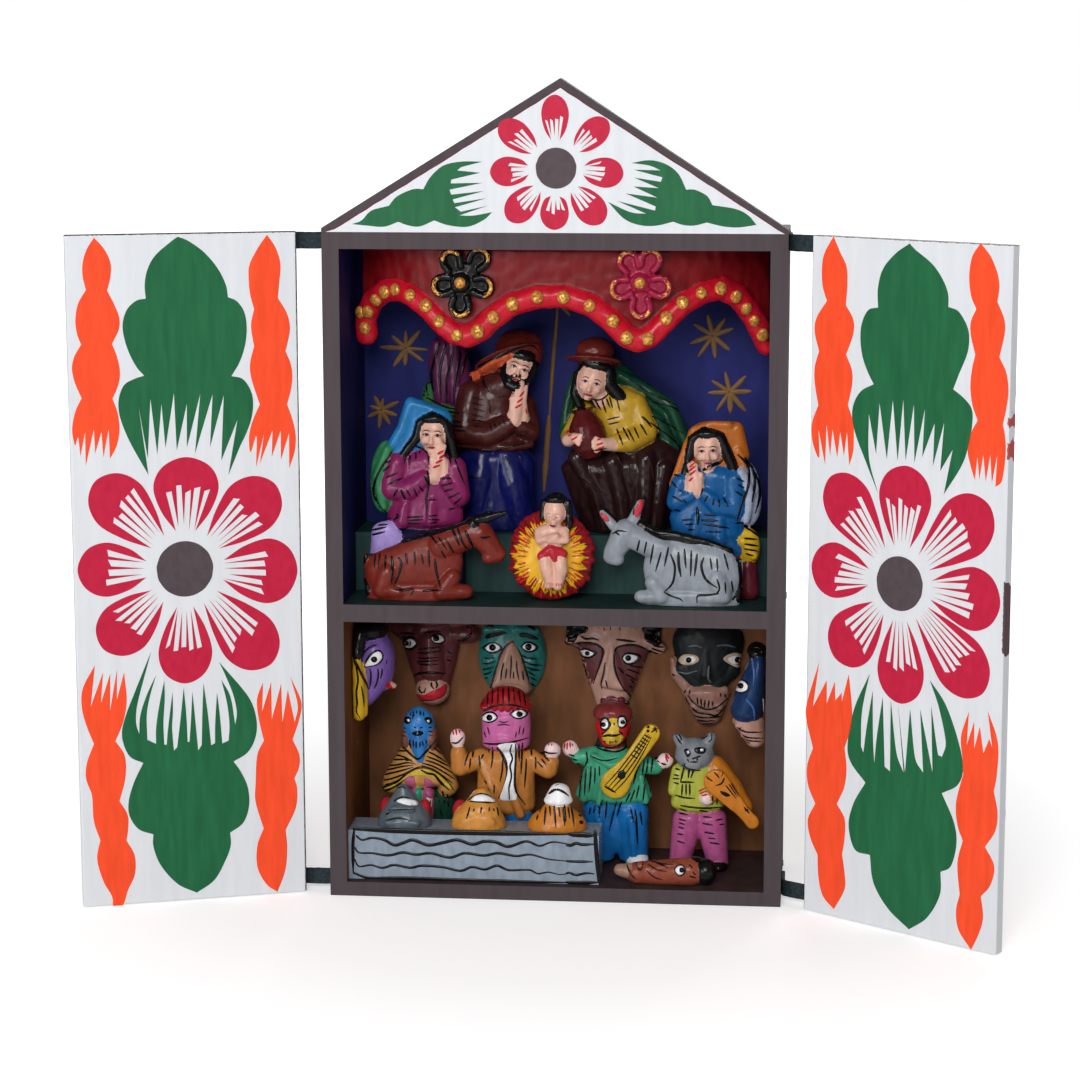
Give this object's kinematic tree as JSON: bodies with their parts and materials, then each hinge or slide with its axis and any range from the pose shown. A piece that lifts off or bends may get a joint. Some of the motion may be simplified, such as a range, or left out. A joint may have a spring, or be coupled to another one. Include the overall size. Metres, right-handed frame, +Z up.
{
  "type": "retablo box",
  "caption": "Gabled wooden retablo box with two leather-hinged painted doors, a nativity of modelled paste figures above and a mask maker's room with dancers and musicians below.",
  "frame": {"origin": "centre of the case's underside, midway between its front edges and the back face of its back panel", "axes": "+X to the viewer's right, +Y into the case towards its back, +Z up"},
  "size_m": [0.2995, 0.0984, 0.27],
  "materials": {
    "dark_painted_wood": "matte paint on planed wood",
    "white_painted_wood": "white ground with painted flowers and leaves",
    "back_wood": "thin board, painted blue above and brown below",
    "green_painted_wood": "matte dark green paint",
    "bench_paint": "grey paint with black line drawing",
    "leather": "dark dyed strap leather",
    "steel_nail": "small wire nails",
    "valance_red": "varnished red paste",
    "gold_paint": "gold paint on paste",
    "black_paste": "varnished black paste",
    "pink_paste": "varnished crimson paste",
    "maroon_paste": "varnished maroon paste",
    "brown_paste": "varnished dark brown paste",
    "magenta_paste": "varnished magenta paste",
    "blue_paste": "varnished blue paste",
    "straw_paste": "yellow and red paste",
    "flesh_paste": "matte flesh paint on paste",
    "red_brown_paste": "varnished red-brown paste",
    "grey_paste": "varnished grey paste",
    "violet_paste": "painted paste",
    "teal_paste": "painted paste",
    "tan_paste": "painted paste",
    "orange_paste": "painted paste",
    "green_paste": "painted paste",
    "yellow_paste": "painted paste",
    "lime_paste": "painted paste"
  },
  "bodies": {
    "case": {"side_left": "dark_painted_wood", "side_right": "dark_painted_wood", "top_board": "dark_painted_wood", "shelf_board": "dark_painted_wood", "bottom_board": "dark_painted_wood", "back_panel": "back_wood", "gable_board": "white_painted_wood", "nails": "steel_nail", "left_upper_case_flap": "leather", "left_upper_span": "leather", "left_lower_case_flap": "leather", "left_lower_span": "leather", "right_upper_case_flap": "leather", "right_upper_span": "leather", "right_lower_case_flap": "leather", "right_lower_span": "leather", "stage_step": "green_painted_wood", "valance": "valance_red", "valance_pellets": "gold_paint", "rosette_black": "black_paste", "rosette_pink": "pink_paste", "kneeling_man": "maroon_paste", "seated_woman": "brown_paste", "water_jar": "maroon_paste", "veiled_woman": "magenta_paste", "hooded_woman": "blue_paste", "straw_nest": "straw_paste", "infant": "flesh_paste", "ox": "red_brown_paste", "donkey": "grey_paste", "bird_mask": "violet_paste", "bull_mask": "maroon_paste", "long_nose_mask": "teal_paste", "lined_mask": "tan_paste", "grinning_mask": "black_paste", "blue_mask": "blue_paste", "caped_figure": "tan_paste", "capped_dancer": "orange_paste", "guitarist": "green_paste", "guitar": "yellow_paste", "fiddler": "lime_paste", "fiddle": "orange_paste", "bench": "bench_paint", "grey_bench_mask": "grey_paste", "orange_bench_mask": "orange_paste", "striped_bench_mask": "orange_paste", "floor_mask": "red_brown_paste"},
    "door_left": {"door_left": "white_painted_wood", "left_upper_door_flap": "leather", "left_lower_door_flap": "leather"},
    "door_right": {"door_right": "white_painted_wood", "right_upper_door_flap": "leather", "right_lower_door_flap": "leather"}
  },
  "joints": [
    {"name": "left_door_hinge", "type": "hinge", "parent": "case", "child": "door_left", "pos_m": [-0.079, -0.0245, 0.11], "axis": [0, 0, -1], "range_deg": [-160.5, 39.5], "deforming": ["left_upper_span", "left_lower_span"]},
    {"name": "right_door_hinge", "type": "hinge", "parent": "case", "child": "door_right", "pos_m": [0.079, -0.0265, 0.11], "axis": [0, 0, 1], "range_deg": [-144, 56], "deforming": ["right_upper_span", "right_lower_span"]}
  ]
}
